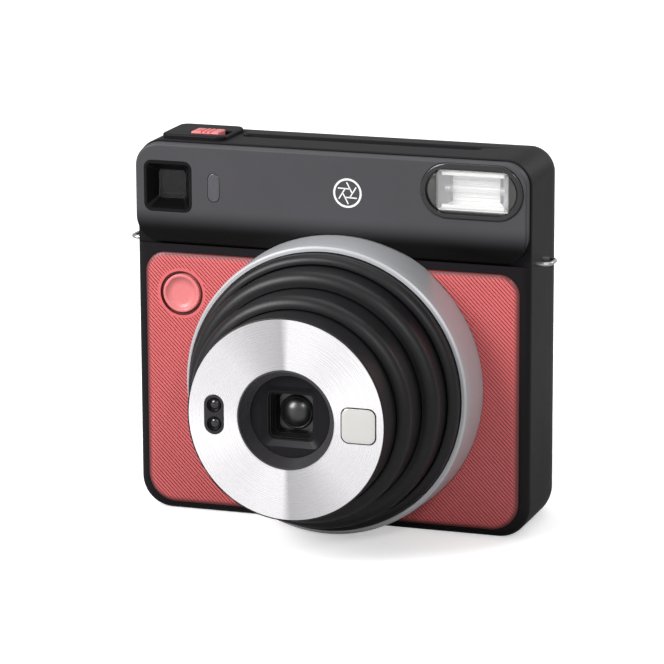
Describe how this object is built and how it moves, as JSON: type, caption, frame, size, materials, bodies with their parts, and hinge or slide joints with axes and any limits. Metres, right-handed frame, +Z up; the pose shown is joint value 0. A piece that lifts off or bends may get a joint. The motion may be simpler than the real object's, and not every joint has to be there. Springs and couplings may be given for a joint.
{
  "type": "instant camera",
  "caption": "Square-format instant camera with a three-tier telescoping lens, ribbed red grips, flash, viewfinder and swinging film door.",
  "frame": {"origin": "mouth of the tripod socket, in the middle of the base", "axes": "+Z up, -Y out of the lens side, +X to the right of someone facing the front"},
  "size_m": [0.138, 0.0955, 0.1206],
  "materials": {
    "case": "fine matte grain, near black",
    "fascia": "satin graphite",
    "grip": "satin coral red",
    "steel_ring": "brushed",
    "plate": "radially brushed",
    "barrel": "matte black",
    "gloss_black": "polished black",
    "lens_glass": "coated",
    "clear": "clear",
    "smoked": "smoked window",
    "mirror": "convex mirror",
    "reflector": "bright",
    "lamp": "translucent grey",
    "steel": "plain",
    "spring": "spring wire",
    "inner": "plain moulding",
    "board": "circuit board",
    "roller": "hard rubber on steel",
    "gear": "white acetal",
    "brass": "machined",
    "cell": "wrapped cell",
    "capacitor": "sleeve"
  },
  "bodies": {
    "camera_body": {"front_shell": "case", "upper_fascia": "fascia", "rear_cover": "case", "left_grip_panel": "grip", "right_grip_panel": "grip", "bezel_ring": "steel_ring", "bezel_liner": "barrel", "guide_tube": "inner", "shutter_spring": "spring", "main_board": "board", "flash_bezel": "gloss_black", "flash_window": "clear", "flash_reflector": "reflector", "flash_tube": "clear", "flash_capacitor": "capacitor", "timer_lamp": "lamp", "viewfinder_bezel": "gloss_black", "viewfinder_front_lens": "lens_glass", "viewfinder_tunnel": "inner", "eyepiece_frame": "inner", "eyepiece_lens": "lens_glass", "light_box": "inner", "feed_motor": "steel", "roller_frame": "steel", "battery_box": "inner", "batteries": "cell", "battery_door_pin": "steel", "door_hinge_pin": "steel", "control_board": "board", "mode_window": "smoked", "power_switch_plate": "case", "strap_lugs": "steel", "tripod_socket": "brass", "casing_screws": "steel"},
    "rear_barrel": {"rear_barrel": "barrel"},
    "middle_barrel": {"middle_barrel": "barrel"},
    "front_barrel": {"front_barrel": "barrel", "face_plate": "plate", "sensor_window": "gloss_black", "selfie_mirror": "mirror", "lens_hood": "barrel", "lens_baffle": "inner", "front_lens": "lens_glass", "shutter_unit": "inner", "rear_lens": "lens_glass"},
    "shutter_button": {"shutter_button": "grip"},
    "power_slider": {"power_slider": "grip"},
    "film_door": {"film_door": "case", "film_window": "smoked", "pack_springs": "spring"},
    "door_latch": {"door_latch": "fascia"},
    "mode_button": {"mode_button": "fascia"},
    "flash_button": {"flash_button": "fascia"},
    "timer_button": {"timer_button": "fascia"},
    "battery_door": {"battery_door": "case"},
    "front_roller": {"front_roller": "roller", "front_roller_gear": "gear"},
    "rear_roller": {"rear_roller": "roller", "rear_roller_gear": "gear"},
    "motor_pinion": {"motor_pinion": "gear"}
  },
  "joints": [
    {"name": "rear_barrel_slide", "type": "slide", "parent": "camera_body", "child": "rear_barrel", "axis": [0, 1, 0], "range_m": [0, 0.0105]},
    {"name": "middle_barrel_slide", "type": "slide", "parent": "rear_barrel", "child": "middle_barrel", "axis": [0, 1, 0], "range_m": [0, 0.0105]},
    {"name": "front_barrel_slide", "type": "slide", "parent": "middle_barrel", "child": "front_barrel", "axis": [0, 1, 0], "range_m": [0, 0.0105]},
    {"name": "shutter_press", "type": "slide", "parent": "camera_body", "child": "shutter_button", "axis": [0, 1, 0], "range_m": [0, 0.001], "stiffness_N_per_m": 1500, "springref_m": -0.0003, "deforming": ["shutter_spring"]},
    {"name": "power_slide", "type": "slide", "parent": "camera_body", "child": "power_slider", "axis": [1, 0, 0], "range_m": [0, 0.0024]},
    {"name": "film_door_hinge", "type": "hinge", "parent": "camera_body", "child": "film_door", "pos_m": [0.048, 0.0313, 0.0525], "axis": [0, 0, -1], "range_deg": [0, 90]},
    {"name": "latch_slide", "type": "slide", "parent": "camera_body", "child": "door_latch", "axis": [0, 0, -1], "range_m": [0, 0.003], "stiffness_N_per_m": 200, "springref_m": -0.001},
    {"name": "mode_press", "type": "slide", "parent": "camera_body", "child": "mode_button", "axis": [0, -1, 0], "range_m": [0, 0.0005], "stiffness_N_per_m": 800, "springref_m": -0.0002},
    {"name": "flash_press", "type": "slide", "parent": "camera_body", "child": "flash_button", "axis": [0, -1, 0], "range_m": [0, 0.0005], "stiffness_N_per_m": 800, "springref_m": -0.0002},
    {"name": "timer_press", "type": "slide", "parent": "camera_body", "child": "timer_button", "axis": [0, -1, 0], "range_m": [0, 0.0005], "stiffness_N_per_m": 800, "springref_m": -0.0002},
    {"name": "battery_door_hinge", "type": "hinge", "parent": "camera_body", "child": "battery_door", "pos_m": [-0.06255, 0.0112, 0.0388], "axis": [0, 0, 1], "range_deg": [0, 90]},
    {"name": "rear_roller_spin", "type": "hinge", "parent": "camera_body", "child": "rear_roller", "pos_m": [0.0034, 0.0108, 0.1065], "axis": [1, 0, 0], "continuous": true},
    {"name": "front_roller_spin", "type": "hinge", "parent": "camera_body", "child": "front_roller", "pos_m": [0.0034, 0.0026, 0.1065], "axis": [1, 0, 0], "continuous": true},
    {"name": "pinion_spin", "type": "hinge", "parent": "camera_body", "child": "motor_pinion", "pos_m": [0.05, 0.0108, 0.09967], "axis": [1, 0, 0], "continuous": true}
  ],
  "couplings": [
    {"joint": "middle_barrel_slide", "follows": "rear_barrel_slide", "ratio": 1},
    {"joint": "front_barrel_slide", "follows": "rear_barrel_slide", "ratio": 1},
    {"joint": "front_roller_spin", "follows": "rear_roller_spin", "ratio": -1},
    {"joint": "pinion_spin", "follows": "rear_roller_spin", "ratio": -1.5}
  ]
}
